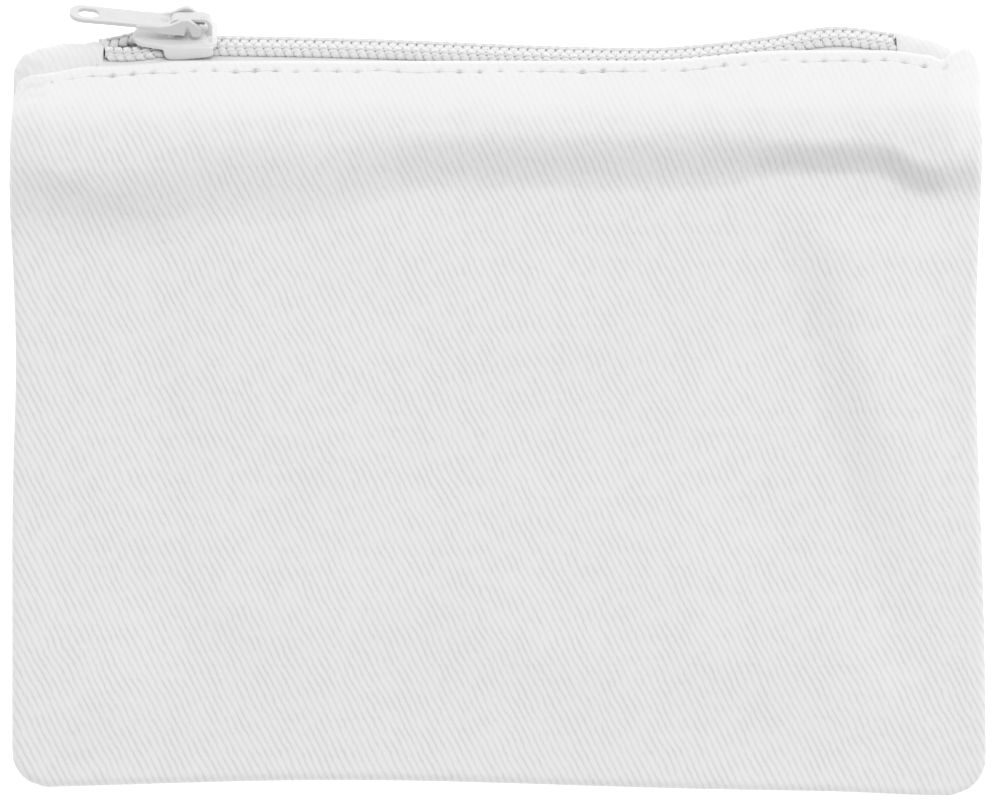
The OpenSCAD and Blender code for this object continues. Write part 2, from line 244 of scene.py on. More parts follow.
HALF_W = 67.0
BOTTOM = -54.2
CORNER_R = 5.2
CLOTH = 0.7
HEM = 2 * CLOTH
ZIP_Y = 48.0
ZIP_Z = 5.3
TILT = math.radians(54)
SLIDER_X = -44.4
CHAIN_END = 54.2
PITCH = 1.27
STITCH = 2.8
slide = next(j for j in frame["joints"] if j["name"] == "slider_slide")
SLANT = math.atan2(slide["axis"][1], slide["axis"][0])
SLIDE_END = SLIDER_X + slide["range_m"][1] / MM


def bow(x):
    """How far the soft zip strays along Y from a straight line."""
    x = np.asarray(x, float)
    sag = -1.7 * bump(x, 20, np.where(x < 20, 34, 14))
    return sag + 1.25 * bump(x, 46, 7) - 0.5 * smooth((-48 - x) / 6)


def chain_bow(x):
    """The same, measured from the line that the slider runs along."""
    x = np.asarray(x, float)
    return bow(x) - math.sin(SLANT) * (x - SLIDER_X)


def zip_at(x, t, w, bowed=True):
    """A point of the zip: x along it, t across it towards the back panel, w out of it."""
    x, t, w = np.broadcast_arrays(np.asarray(x, float), np.asarray(t, float), np.asarray(w, float))
    out = math.cos(TILT) * t + math.sin(TILT) * w
    along = x - SLIDER_X
    px = SLIDER_X + along * math.cos(SLANT) - out * math.sin(SLANT)
    py = ZIP_Y + along * math.sin(SLANT) + out * math.cos(SLANT)
    pz = ZIP_Z - math.sin(TILT) * t + math.cos(TILT) * w
    if bowed:
        py = py + chain_bow(x)
    return np.stack([px, py, pz], -1)


T_AXIS = (-math.cos(TILT) * math.sin(SLANT), math.cos(TILT) * math.cos(SLANT), -math.sin(TILT))


def spread(x):
    return 1.25 * smooth((SLIDER_X + 0.3 - x) / 5.6) * (1 - 0.7 * smooth((-49.5 - x) / 5))


def seam_z(y):
    return mix(1.4, ZIP_Z, np.clip((y + 36) / 84, 0, 1) ** 1.6)


def side_x(y, side):
    """The side edges: both bow in a little."""
    if side < 0:
        return -67.1 + 0.6 * bump(y, 6, 14) - 0.2 * bump(y, 27, 5) + 0.5 * smooth((y - 34) / 10)
    return 66.9 - 1.5 * bump(y, 8, 30) - 0.65 * smooth((y - 32) / 11)


def bottom_y(x):
    return -53.9 + 1.6 * bump(x, -22, 42) - 0.5 * bump(x, 60, 10)


def fold_y(x):
    """Outermost line of the front panel's fold beside the zip."""
    rise = 1.45 * smooth((x - 19) / 22) - 0.75 * smooth((x - 53) / 8)
    left = -0.75 * smooth((-43 - x) / 12) - 1.1 * smooth((-56 - x) / 8) - 1.5 * smooth((-64.2 - x) / 3) ** 1.5
    knob = 1.35 * bump(x, 64.5, 1.9) - 0.6 * bump(x, 61.2, 0.9) - 3.4 * smooth((x - 64.6) / 3.2) ** 1.5
    return 46.25 + rise + left + knob


def back_fold_y(x):
    """The same for the back panel, which lies lower and reaches further."""
    left = -2.3 * smooth((-60.5 - x) / 5) - 3.6 * smooth((-64.6 - x) / 2.6) ** 1.5
    right = -2.7 * smooth((x - 56.5) / 6) - 4.2 * smooth((x - 64.4) / 2.6) ** 1.5
    return 49.5 + 0.8 * bow(x) + left + right


def crest_z(x):
    return 10.5 + 0.08 * waves(x, 0 * x, 5, 30)


def middle_z(x, y):
    """Height of the front panel away from its edges."""
    # the roll over the turned hem, steeper towards the right
    left, right = smooth((-8 - x) / 20), smooth((x - 26) / 16)
    width = 8.6 + 3 * left + 3.5 * smooth((-38 - x) / 10) - 3.9 * right
    flank = 32.6 - 2.6 * left - 3.2 * smooth((-38 - x) / 12) - 2.8 * smooth((x - 52) / 8)
    drop = 3.9 - 0.6 * left + 0.6 * right - 0.4 * smooth((x - 54) / 8)
    z = crest_z(x) - drop * (1 - smooth((y - flank) / width + 0.5))
    # the wedge thins towards the bottom seam
    z = z - 1.7 * np.clip((27 - y) / 73, 0, 1.2)
    # it falls again from the crest to the fold
    z = z - 1.15 * np.clip((y - 38.6) / 8, 0, 1.3) ** 1.25
    # a soft shoulder a third of the way in from the left, and a long one that leans down to the right
    z = z - 1.5 * (1 - smooth((x + 49) / 14)) * smooth((y + 48) / 40) * (1 - smooth((y - 24) / 8))
    lean = 41 + 0.27 * np.clip(30 - y, 0, 90) + 4.5 * smooth((-26 - y) / 26)
    below = 1 - smooth((y - 20) / 9)
    shoulder = 1.9 * smooth((x - lean + 5.5) / 10) * (1 - 0.35 * smooth((-12 - y) / 20))
    z = z + below * (shoulder + 1.4 * smooth((x - lean + 4) / 22))
    return z + 0.10 * waves(x, y, 11, 34) + 0.05 * waves(x, y, 12, 14)


def edge_distance(x, y):
    """Distance in from the nearest side or bottom edge of the plain rectangle with round corners."""
    dx = HALF_W - np.abs(x)
    dy = y - BOTTOM
    corner = CORNER_R - np.hypot(np.maximum(CORNER_R - dx, 0), np.maximum(CORNER_R - dy, 0))
    return np.maximum(0, np.where((dx < CORNER_R) & (dy < CORNER_R), corner, np.minimum(dx, dy)))


def arc_bottom(x):
    over = np.maximum(0, np.abs(x) - (HALF_W - CORNER_R))
    return BOTTOM + CORNER_R - np.sqrt(np.maximum(0, CORNER_R ** 2 - over ** 2))


def settle(x, y, top_line, top_now):
    """Moves a point of the plain rectangle to the real, slightly uneven outline."""
    py = (y + (bottom_y(x) - BOTTOM) * smooth((-10 - y) / 44)
          + (top_now - top_line) * smooth((y - 22) / (top_line - 22)))
    left = side_x(py, -1) + HALF_W
    right = side_x(py, 1) - HALF_W
    px = x + left * smooth((10 - x) / (10 + HALF_W)) + right * smooth((x - 10) / (HALF_W - 10))
    return px, py


# ---- the two panels ----

FRONT_TIP = 46.6
BACK_TIP = 49.85
EDGE_STEPS = [0, 0.12, 0.26, 0.42, 0.62, 0.86, 1.15, 1.5, 1.95, 2.5]


def fine_columns():
    """Columns across a panel, close together at the edges and at each needle hole."""
    inner = []
    count = int(64 // STITCH)
    for i in range(-count, count + 1):
        inner += [i * STITCH + d for d in (-0.95, -0.48, -0.22, 0, 0.22, 0.48, 0.95)]
        if i < count:
            inner.append(i * STITCH + STITCH / 2)
    inner = [c for c in inner if abs(c) < HALF_W - 2.9]
    edges = [HALF_W - s for s in EDGE_STEPS]
    return np.array(sorted([-e for e in edges] + inner + edges))


def panel_rows(length, step, fine_top, fine_step):
    rows = list(EDGE_STEPS)
    while rows[-1] < length - 18:
        rows.append(rows[-1] + step)
    while rows[-1] < length - fine_top:
        rows.append(rows[-1] + 0.5)
    while rows[-1] < length - 0.1:
        rows.append(rows[-1] + fine_step)
    rows = np.array(rows)
    return rows * (length / rows[-1])


def three_edges(columns, rows):
    """Grid places down the left edge, along the bottom and up the right edge."""
    return ([(0, j) for j in range(rows - 1, 0, -1)] + [(i, 0) for i in range(columns)]
            + [(columns - 1, j) for j in range(1, rows)])


SKIRT = [(0.04, 0.26), (0.24, 0.09), (0.55, 0.03)]   # how far in and how high above the seam the lip turns


def panel(name, surface, top_line, top_of, up, step):
    """A closed panel: outer face, lips turned in at the seams, the fold beside the zip, and the inner face.

    surface(x, y, e) gives the outer height, up is 1 for the front panel and -1 for the back one."""
    cols = fine_columns() if up > 0 else np.array(sorted(set(np.round(np.concatenate(
        [fine_columns()[:10], fine_columns()[-10:], np.arange(-64, 64.1, 0.9)]), 3))))
    rows = panel_rows(top_line - HEM / 2 - BOTTOM, step, 4.2 if up > 0 else 1.5, 0.2 if up > 0 else 0.4)
    x = np.repeat(cols[:, None], len(rows), 1)
    base = arc_bottom(cols)[:, None]
    y = base + rows[None, :] * (top_line - HEM / 2 - base) / rows[-1]
    e = edge_distance(x, y)
    z = surface(x, y, e)
    px, py = settle(x, y, top_line, top_of(x))
    along_seam = np.where(HALF_W - np.abs(x) < y - BOTTOM, y, x)
    pucker = 0.07 * np.cos(2 * math.pi * along_seam / STITCH) * bump(e, 0, 0.8)
    outer = np.stack([px, py, z + up * pucker], -1)
    nc, nr = x.shape
    # the fold
    turns = np.radians(np.linspace(75, -78, 9))
    room = up * (outer[:, -1, 2] - seam_z(outer[:, -1, 1]))
    fold_r = np.clip(room / 2, 0.15, HEM / 2)
    tip = []
    for a in turns:
        step_out = [0 * cols, fold_r * math.cos(a), up * fold_r * (math.sin(a) - 1)]
        tip.append(outer[:, -1] + np.stack(step_out, -1))
    outer = np.concatenate([outer, np.stack(tip, 1)], 1)
    nt = outer.shape[1]
    verts = [outer.reshape(-1, 3)]
    faces = grid_faces(nc, nt)
    count = nc * nt
    # lips along the left, bottom and right edges
    ids = np.array([i * nt + j for i, j in three_edges(nc, nr)])
    edge = verts[0][ids]
    along = np.gradient(edge, axis=0)
    inward = np.stack([-along[:, 1], along[:, 0], 0 * along[:, 0]], -1)
    inward /= np.maximum(1e-9, np.linalg.norm(inward, axis=1))[:, None]
    level = seam_z(edge[:, 1])
    last = ids
    for inset, lift in SKIRT:
        points = edge + inward * inset
        points[:, 2] = level + up * lift
        verts.append(points)
        now = np.arange(count, count + len(points))
        count += len(points)
        faces += [(last[k], last[k + 1], now[k + 1], now[k]) for k in range(len(points) - 1)]
        last = now
    # the inner face, coarser, thicker where the hem is turned under
    inset = 0.62
    icols = np.concatenate([[-HALF_W + inset, -HALF_W + 1.6, -HALF_W + 3], np.linspace(-62, 62, 70),
                            [HALF_W - 3, HALF_W - 1.6, HALF_W - inset]])
    span = top_line - HEM / 2
    irows = np.concatenate([[0, 0.8, 2], np.linspace(4, span - BOTTOM - 11, 40),
                            span - BOTTOM - np.array([10, 9.4, 9, 8.6, 7, 5, 3, 1.5, 0])]) / (span - BOTTOM)
    ix = np.repeat(icols[:, None], len(irows), 1)
    low = np.minimum(arc_bottom(icols * HALF_W / (HALF_W - inset)) + inset, span - 60)[:, None]
    iy = low + irows[None, :] * (span - low)
    ie = edge_distance(ix, iy)
    thick = mix(CLOTH, HEM, smooth((iy - span + 9.2) / 0.5))
    iz = surface(ix, iy, ie) - up * thick
    ipx, ipy = settle(ix, iy, top_line, top_of(ix))
    limit = seam_z(ipy) + up * 0.03
    iz = np.maximum(iz, limit) if up > 0 else np.minimum(iz, limit)
    inner = np.stack([ipx, ipy, iz], -1)
    ni, nj = ix.shape
    verts.append(inner.reshape(-1, 3))
    faces += [tuple(count + k for k in f) for f in grid_faces(ni, nj)]
    inner_ids = [count + i * nj + j for i, j in three_edges(ni, nj)]
    allv = np.concatenate(verts)

    def stations(indices):
        p = allv[np.array(indices)]
        d = np.concatenate([[0], np.cumsum(np.linalg.norm(np.diff(p, axis=0), axis=1))])
        return d / d[-1]

    faces += zip_rows(list(last), inner_ids, stations(last), stations(inner_ids))
    top_outer = [i * nt + nt - 1 for i in range(nc)]
    top_inner = [count + i * nj + nj - 1 for i in range(ni)]
    faces += zip_rows(top_outer, top_inner, stations(top_outer), stations(top_inner))
    return mesh_object(name, allv, faces)


def needle_holes(x, y):
    """Small dimples where the topstitch goes through the front panel."""
    near = (np.mod(x / STITCH + 0.5, 1) - 0.5) * STITCH
    row = y - (FRONT_TIP - 1.5) - 0.12 * waves(x, 0 * x, 21, 9)
    inside = np.abs(x) < 62
    dent = -0.46 * np.exp(-(near / 0.32) ** 2 - (row / 0.24) ** 2) * (0.85 + 0.35 * waves(x, 0 * x, 22, 5))
    return np.where(inside, dent, 0)


def front_surface(x, y, e):
    seam = seam_z(y)
    top = middle_z(x, y)
    wall = 0.62 + 0.2 * smooth((y - 22) / 12) - 0.3 * smooth((x - 45) / 18)
    soft = mix(24, 5, smooth((y - 22) / 12)) + 6 * waves(x, y, 31, 40) * (1 - smooth((y - 22) / 12))
    gain = wall * quarter(e / 1.25) + (1 - wall) * smooth(e / soft)
    z = mix(seam + 0.5, top, gain)
    z = z - 1.2 * smooth((-61.5 - x) / 4.5) * smooth((y - 41) / 4)
    # short creases where the corner was turned
    crease = bump(x, -64.2, 2.0) * bump(y, 44.2, 2.2)
    z = z + 0.16 * crease * np.cos(2 * math.pi * ((x + 64.2) * 0.62 - (y - 44.2) * 0.78) / 1.25)
    crease = bump(x, 63.8, 1.6) * bump(y, 43.6, 1.6)
    z = z + 0.10 * crease * np.cos(2 * math.pi * ((x - 63.8) * 0.7 - (y - 43.6) * 0.7) / 1.4)
    return z + needle_holes(x, y)


def back_surface(x, y, e):
    seam = seam_z(y)
    flat = 0.3 * smooth((y - 36) / 8)
    width = mix(2.4 * seam, 6.0, smooth((y - 20) / 18))
    z = mix(seam - 0.5, flat, quarter(e / width))
    lift = smooth((e - 3) / 8) * (0.10 + 0.10 * waves(x, y, 41, 30)) * (1 - bump(y, -10, 6) * bump(x, 0, 8))
    return np.maximum(z + lift, 0.0)


front_panel = panel("front_panel_canvas", front_surface, FRONT_TIP, fold_y, 1, 0.8)
back_panel = panel("back_panel_canvas", back_surface, BACK_TIP, back_fold_y, -1, 1.0)


def front_top(x, y):
    """Height of the finished front panel over a point of the plain rectangle, for what lies on it."""
    return front_surface(x, y, edge_distance(x, y))


def back_inside(x):
    """Height of the back panel's upper side on its hem."""
    y = BACK_TIP - 1.6
    return min(float(back_surface(x, y, edge_distance(x, y))) + HEM, float(seam_z(back_fold_y(x))) - 0.05)


# ---- seam allowance, end tabs ----

def allowance():
    """Two raw layers that lie together inside the seams, round three sides."""
    parts = []
    for layer in (0, 1):
        path = [(-1, y) for y in np.linspace(-16, BOTTOM + 8, 40)] + \
               [(0, x) for x in np.linspace(-HALF_W + 8, HALF_W - 8, 130)] + \
               [(1, y) for y in np.linspace(BOTTOM + 8, -16, 40)]
        outer, inner = [], []
        for where, q in path:
            if where == 0:
                outer.append((q, BOTTOM + 2.2))
                inner.append((q, BOTTOM + 7.3 + 0.15 * math.sin(q * 0.9 + layer)))
            else:
                outer.append((where * (HALF_W - 2.2), q))
                inner.append((where * (HALF_W - 7.3 + 0.15 * math.sin(q * 1.1 + layer)), q))
        outer, inner = np.array(outer), np.array(inner)
        rows = []
        for face_z, across in ((1.22, np.linspace(0, 1, 6)), (1.86, np.linspace(1, 0, 6))):
            for q in across:
                xy = mix(outer, inner, q)
                z = face_z + 0.72 * layer + 0.06 * waves(xy[:, 0], xy[:, 1], 51 + layer, 12) * q
                rows.append(np.stack([xy[:, 0], xy[:, 1], z], -1))
        grid = np.stack(rows, 1)
        parts.append((grid.reshape(-1, 3), grid_faces(grid.shape[0], grid.shape[1], wrap=True)))
    return joined(parts)


def end_tab(side):
    """The folded strip that closes one end of the zip: a soft shell from the front fold to the back hem."""
    inner_x = CHAIN_END
    outer_x = 66.5 if side < 0 else 65.0
    seen_to = 66.5 if side < 0 else 61.8
    reach = outer_x - inner_x
    near_end = np.sin(np.linspace(0, 1, 40) * math.pi / 2) * (reach - 1.4)
    xs = np.concatenate([inner_x + np.array([0, 0.1, 0.25, 0.45, 0.7, 1.0]), inner_x + 1.4 + near_end])
    loops = []
    for x in xs:
        q = min(1.0, (x - inner_x) / (seen_to - inner_x))
        px = side * x
        # the front panel's outline stands a little further in than its plain rectangle at the right corner
        fold = fold_y(px + 1.0 * smooth((px - 60) / 4))
        # at the left the outer line keeps straight, then turns in round the corner
        if side < 0:
            turn = 1 - math.sqrt(max(0.0, 1 - max(0.0, (q - 0.72) / 0.28) ** 2))
            outline = 49.25 - 0.75 * q * q - 3.3 * turn
        else:
            outline = 50.45 - 0.8 * q - 0.8 * q ** 3 - 3.0 * smooth((x - seen_to + 0.5) / 0.9)
        lip = 0.25 * (1 - smooth((x - inner_x) / 0.5))
        # cross-section from under the front fold, out over the zip, to the back fold
        under = mix(1.5, 0.75, smooth((q - 0.3) / 0.5))
        start = np.array([fold - 1.2, float(front_top(px, FRONT_TIP - 1.0)) - under])
        outline = max(outline, start[0] + 0.9)
        crown = np.array([outline, mix(7.2, 6.2, q) + 0.6 * smooth((q - 0.2) / 0.4)])
        # its far edge comes down on the back panel's hem
        end = np.array([min(back_fold_y(px) - 0.5, outline - 0.2) - 0.5 * q, back_inside(px) + 0.1])
        far = np.array([max(end[0], outline - 0.3), max(end[1] + 0.6, mix(4.4, 5.2, q))])
        hump = 0.45 * bump(x, inner_x + 1.2, 1.0)
        control = [start, np.array([start[0] + 1.4, start[1] + 0.15]), crown + np.array([0.25 + hump, 0.5]),
                   far + np.array([0.35 + hump * 0.8, 0]), end]
        ts = np.linspace(0, 1, 22)
        curve = np.array([sum(math.comb(4, k) * (1 - t) ** (4 - k) * t ** k * control[k] for k in range(5))
                          for t in ts])
        normal = normals(curve)
        wrinkle = 0.05 * waves(px * np.ones(22), curve[:, 0] * 2, 61, 5)
        wrinkle += 0.10 * np.cos(2 * math.pi * (px * 0.4 + curve[:, 0]) / 2.1) * bump(x, outer_x - 2.5, 2.2)
        outer = curve + normal * (wrinkle - lip)[:, None]
        inner = curve - normal * (CLOTH * 1.1 - lip)
        loop = np.concatenate([outer, inner[::-1]])
        loops.append(np.stack([np.full(len(loop), px), loop[:, 0], loop[:, 1]], -1))
    return closed_strip(loops)


# ---- the zip ----

def ribbon(section, xs, thickness):
    """A tape: section(x) gives its middle line in [y, z] at a place along the zip."""
    loops = []
    for x in xs:
        line = section(x)
        normal = normals(line)
        half = thickness / 2 * np.ones(len(line))
        half[0] = half[-1] = thickness * 0.3
        loop = np.concatenate([line + normal * half[:, None], (line - normal * half[:, None])[::-1]])
        loops.append(np.stack([np.full(len(loop), x), loop[:, 0], loop[:, 1]], -1))
    return closed_strip(loops)


def bezier(p, n):
    t = np.linspace(0, 1, n)[:, None]
    return (1 - t) ** 3 * p[0] + 3 * (1 - t) ** 2 * t * p[1] + 3 * (1 - t) * t * t * p[2] + t ** 3 * p[3]


def front_tape_line(x):
    flat = [zip_at(x, -v, 0)[1:] for v in (0.75, 1.4, 2.1, 2.8, 3.15)]
    tip = float(fold_y(np.float64(x)))
    under = HEM + 0.4
    hem = [np.array([tip - d, float(middle_z(np.float64(x), np.float64(FRONT_TIP - d))) - under])
           for d in (2.6, 5.6, 8.2)]
    curve = bezier([flat[-1], flat[-1] + (flat[-1] - flat[-2]) * 0.8, hem[0] + np.array([1.5, 0]), hem[0]], 8)
    return np.array(flat[:-1] + list(curve) + hem[1:])


def back_tape_line(x):
    over = 0.3 + HEM + 0.3
    bend_r = 0.45
    bend = math.pi - TILT
    bend_t = (ZIP_Z - over - bend_r * (1 + math.cos(TILT))) / math.sin(TILT)
    first = [zip_at(x, v, 0)[1:] for v in (0.75, 1.4, 2.1, bend_t)]
    middle = zip_at(x, bend_t, -bend_r)[1:]
    turns = [math.pi / 2 - TILT - bend * i / 8 for i in range(1, 9)]
    round_bend = [middle + bend_r * np.array([math.cos(a), math.sin(a)]) for a in turns]
    tail = [np.array([mix(round_bend[-1][0], 40, q), over]) for q in (0.2, 0.5, 1)]
    return np.array(first + round_bend + tail)


def coil(side, x_from, x_to):
    """One row of the zip: nylon wire wound as a flattened spring, its loops' heads at the centre line."""
    low, high = 0.45, 1.08
    v_in, v_out = -0.25, 1.75
    shift = PITCH * (0.75 + side / 4)
    first = round((x_from + CHAIN_END - shift) / PITCH)
    last = round((x_to + CHAIN_END - shift) / PITCH)
    steps = 22
    turn = np.arange((last - first) * steps + 1) / steps
    angle = 2 * math.pi * turn
    flat = lambda c: np.sign(c) * np.abs(c) ** 0.62
    v = (v_in + v_out) / 2 - (v_out - v_in) / 2 * flat(np.cos(angle))
    w = (low + high) / 2 + (high - low) / 2 * flat(np.sin(angle)) - 0.12 * smooth((v - 0.6) / 1.2)
    x = -CHAIN_END + shift + PITCH * (first + turn - 0.55 * np.sin(angle) / (2 * math.pi))
    path = zip_at(x, side * (v + spread(x)), w)
    head = bump(np.mod(turn + 0.5, 1) - 0.5, 0, 0.07)
    return tube(path, 0.27 + 0.03 * head, 8, up=(1, 0, 0), flat=2.3)


def cord(side, x_from, x_to):
    xs = np.arange(x_from, x_to, 0.35)
    path = zip_at(xs, side * (0.85 + spread(xs)), 0.72 + 0 * xs)
    return tube(path, 0.3, 12, plies=3, twist=3.6, up=T_AXIS, flat=2.5)


def coil_threads(side, x_from, x_to):
    """Two rows of thread that tie each loop to the tape: over a loop, then down between it and the next."""
    parts = []
    for row in (1.0, 1.62):
        xs = np.arange(x_from, x_to, PITCH / 8)
        loop = (xs + CHAIN_END) / PITCH - (0.75 + side / 4)
        over = 0.5 + 0.5 * np.cos(2 * math.pi * (loop - 0.12))
        w = 1.20 + 0.14 * over - (0.22 if row > 1.2 else 0)
        sway = 0.05 * np.cos(2 * math.pi * loop + 1.5)
        path = zip_at(xs, side * (row + sway + spread(xs)), w)
        parts.append(tube(path, 0.17, 7, plies=2, twist=7))
    return joined(parts)


def lockstitch(points, up, r, bury):
    """A stitched row: thread lies on the cloth between needle holes and dips into each one."""
    parts = []
    for a, b in zip(points[:-1], points[1:]):
        q = np.linspace(0, 1, 15)
        line = a[None, :] + (b - a)[None, :] * q[:, None]
        rise = np.minimum(1, quarter(np.minimum(q, 1 - q) / 0.2))
        line = line + np.array(up)[None, :] * (-r * 1.1 * rise - bury * (1 - rise))[:, None]
        parts.append(tube(line, r * mix(0.75, 1.0, rise), 8, plies=2, twist=9, up=(0.1, 0.9, 0.3)))
    return joined(parts)


def needle_places(reach):
    """Where the needle goes in along a row of stitches that reaches so far to either side."""
    count = int(reach // STITCH)
    return np.arange(-count, count + 1) * STITCH


def topstitch_points():
    xs = needle_places(62)
    y = FRONT_TIP - 1.5 + 0.12 * waves(xs, 0 * xs, 21, 9)
    z = front_top(xs + STITCH / 2, y)
    px, py = settle(xs, y, FRONT_TIP, fold_y(xs))
    return np.stack([px, py, z + 0.02], -1)


def back_stitch_points():
    xs = needle_places(56)
    y = BACK_TIP - 3 + 0 * xs
    z = back_surface(xs + STITCH / 2, y, edge_distance(xs, y))
    px, py = settle(xs, y, BACK_TIP, back_fold_y(xs))
    return np.stack([px, py, z], -1)


def side_seam_path(side):
    ys = np.arange(BOTTOM + CORNER_R, 44, 0.35)
    xs = side_x(ys, side) - side * (0.75 + 0.12 * np.cos(2 * math.pi * ys / STITCH))
    return np.stack([xs, ys, seam_z(ys) + 0.05 * np.sin(2 * math.pi * ys / STITCH)], -1)


def bottom_seam_path():
    xs = np.arange(-HALF_W + CORNER_R, HALF_W - CORNER_R, 0.35)
    ys = bottom_y(xs) + 0.75 + 0.12 * np.cos(2 * math.pi * xs / STITCH)
    return np.stack([xs, ys, 1.4 + 0.05 * np.sin(2 * math.pi * xs / STITCH)], -1)


# ---- the slider ----

def cast(name, solids, voxel, rounds):
    """Fuses closed solids into one skin with soft edges, as a small casting has under its enamel."""
    verts, faces = joined(solids)
    data = bpy.data.meshes.new(name)
    data.from_pydata([tuple(v) for v in verts], [], [tuple(int(i) for i in f) for f in faces])
    bm = bmesh.new()
    bm.from_mesh(data)
    bmesh.ops.recalc_face_normals(bm, faces=bm.faces)
    bm.to_mesh(data)
    bm.free()
    rough = bpy.data.objects.new(name + "_rough", data)
    bpy.context.scene.collection.objects.link(rough)
    remesh = rough.modifiers.new("remesh", "REMESH")
    remesh.mode = "VOXEL"
    remesh.voxel_size = voxel
    relax = rough.modifiers.new("smooth", "SMOOTH")
    relax.factor = 0.5
    relax.iterations = rounds
    bpy.context.view_layer.update()
    done = rough.evaluated_get(bpy.context.evaluated_depsgraph_get())
    out = bpy.data.meshes.new_from_object(done)
    co = np.zeros(len(out.vertices) * 3)
    out.vertices.foreach_get("co", co)
    polygons = [tuple(p.vertices) for p in out.polygons]
    bpy.data.objects.remove(rough)
    bpy.data.meshes.remove(data)
    bpy.data.meshes.remove(out)
    return co.reshape(-1, 3), polygons


def prism(outline, low, high, axis="w"):
    """A closed solid over an outline; axis names the direction that it is drawn out along."""
    n = len(outline)
    points = []
    for level in (low, high):
        for a, b in outline:
            points.append({"w": (a, b, level), "t": (a, level, b), "u": (level, a, b)}[axis])
    faces = [tuple(range(n)), tuple(range(2 * n - 1, n - 1, -1))]
    faces += [(i, (i + 1) % n, n + (i + 1) % n, n + i) for i in range(n)]
    return np.array(points, float), faces


def arc(cx, cy, r, start, end, steps=12):
    turns = [math.radians(a) for a in np.linspace(start, end, steps)]
    return [(cx + r * math.cos(a), cy + r * math.sin(a)) for a in turns]


def in_slider(verts):
    """From the slider's own u, t, w to the pouch's frame; the slider sits where the CAD has it."""
    return zip_at(SLIDER_X + verts[:, 0], verts[:, 1], verts[:, 2], bowed=False)


def plate_outline(nose, tail, wide, shoulder):
    lower = [(-1.4, -wide), (tail - 1.0, -wide + 0.15)] + arc(tail - 0.9, -wide + 1.05, 0.9, -90, 0, 6)[1:]
    nose_arc = arc(nose + shoulder, 0, shoulder, 105, 255, 14)
    upper = [(a, -b) for a, b in reversed(lower)]
    return lower + upper + nose_arc


def ring_prism(outer, hole, low, high):
    """A closed solid with one hole through it, along w."""
    n, m = len(outer), len(hole)
    points = [(a, b, low) for a, b in outer] + [(a, b, high) for a, b in outer] \
        + [(a, b, low) for a, b in hole] + [(a, b, high) for a, b in hole]
    faces = [(i, (i + 1) % n, n + (i + 1) % n, n + i) for i in range(n)]
    faces += [(2 * n + (i + 1) % m, 2 * n + i, 2 * n + m + i, 2 * n + m + (i + 1) % m) for i in range(m)]

    def angles(loop):
        cx, cy = np.mean(hole, 0)
        return [math.atan2(b - cy, a - cx) for a, b in loop]

    for start, inner, flip in ((0, 2 * n, False), (n, 2 * n + m, True)):
        order_a = sorted(range(n), key=lambda i: angles(outer)[i])
        order_b = sorted(range(m), key=lambda i: angles(hole)[i])
        ta = [angles(outer)[i] for i in order_a]
        tb = [angles(hole)[i] for i in order_b]
        a = [start + i for i in order_a] + [start + order_a[0]]
        b = [inner + i for i in order_b] + [inner + order_b[0]]
        tri = zip_rows(a, b, ta + [ta[0] + 2 * math.pi], tb + [tb[0] + 2 * math.pi])
        faces += [t[::-1] if flip else t for t in tri]
    return np.array(points, float), faces


def slider_body():
    top = plate_outline(-5.8, 5.8, 3.12, 2.35)
    under = plate_outline(-5.4, 5.5, 2.8, 2.1)
    solids = [prism(top, 1.84, 2.56), prism(under, -0.92, -0.34)]
    # side walls that curl in at their lower edge
    for side in (-1, 1):
        wall = [(-1.45, 1.2), (-1.25, 0.62), (-0.8, 0.32), (-0.1, 0.25), (1.5, 0.3),
                (4.6, 0.62), (5.2, 0.85), (5.3, 1.3), (5.3, 2.2), (-1.5, 2.2)]
        solids.append(prism(wall, side * 2.56, side * 3.14, "t"))
        under_lip = [(-1.0, -0.8), (5.0, -0.8), (5.0, -0.05), (-1.0, -0.05)]
        solids.append(prism(under_lip, side * 2.45, side * 2.85, "t"))
    wedge = [(-2.4, 0.0), (-4.6, -0.5), (-5.3, -0.34), (-5.3, 0.34), (-4.6, 0.5)]
    solids.append(prism(wedge, -0.5, 2.0))
    # feet of the crown
    for a, b in ((-0.75, -0.05), (4.5, 5.25)):
        solids.append(prism([(a, -0.98), (b, -0.98), (b, 0.98), (a, 0.98)], 2.3, 2.85))
    verts, faces = cast("slider_skin", solids, 0.085, 5)
    # a small pit in the plate near the tail
    near = np.exp(-((verts[:, 0] - 4.65) / 0.28) ** 2 - ((verts[:, 1] + 1.75) / 0.28) ** 2)
    verts[:, 2] -= 0.28 * near * (verts[:, 2] > 2.2)
    return in_slider(verts), faces


